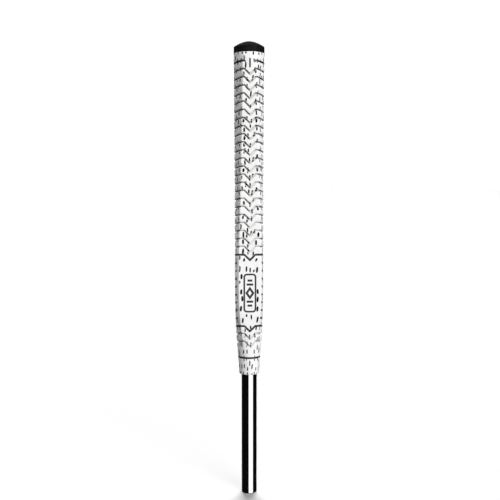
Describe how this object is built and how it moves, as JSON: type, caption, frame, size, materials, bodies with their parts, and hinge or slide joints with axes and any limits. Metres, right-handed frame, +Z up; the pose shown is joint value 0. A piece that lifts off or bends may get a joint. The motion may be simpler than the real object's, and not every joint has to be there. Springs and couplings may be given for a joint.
{
  "type": "golf putter grip",
  "caption": "Pistol putter grip of white corded rubber with a chevron tread, a flat front panel and a black end cap, on a bright steel shaft stub.",
  "frame": {"origin": "on the shaft's axis at its cut foot, which the part stands on", "axes": "+Z up the shaft towards the butt, -Y out of the grip's flat front panel, +X to the right of someone facing the panel"},
  "size_m": [0.0244, 0.0261, 0.3661],
  "materials": {
    "white_cord_rubber": "matt moulded rubber with dark cord fibres in its surface",
    "black_rubber": "matt, finely stippled",
    "core_rubber": "matt",
    "tape": "creped paper",
    "chromed_steel": "polished",
    "accent_paint": "satin paint fill",
    "cord_fibre": "cut cotton cord"
  },
  "bodies": {
    "root": {"grip_sleeve": "white_cord_rubber", "end_cap": "black_rubber", "underlisting": "core_rubber", "grip_tape": "tape", "shaft": "chromed_steel"}
  },
  "joints": []
}
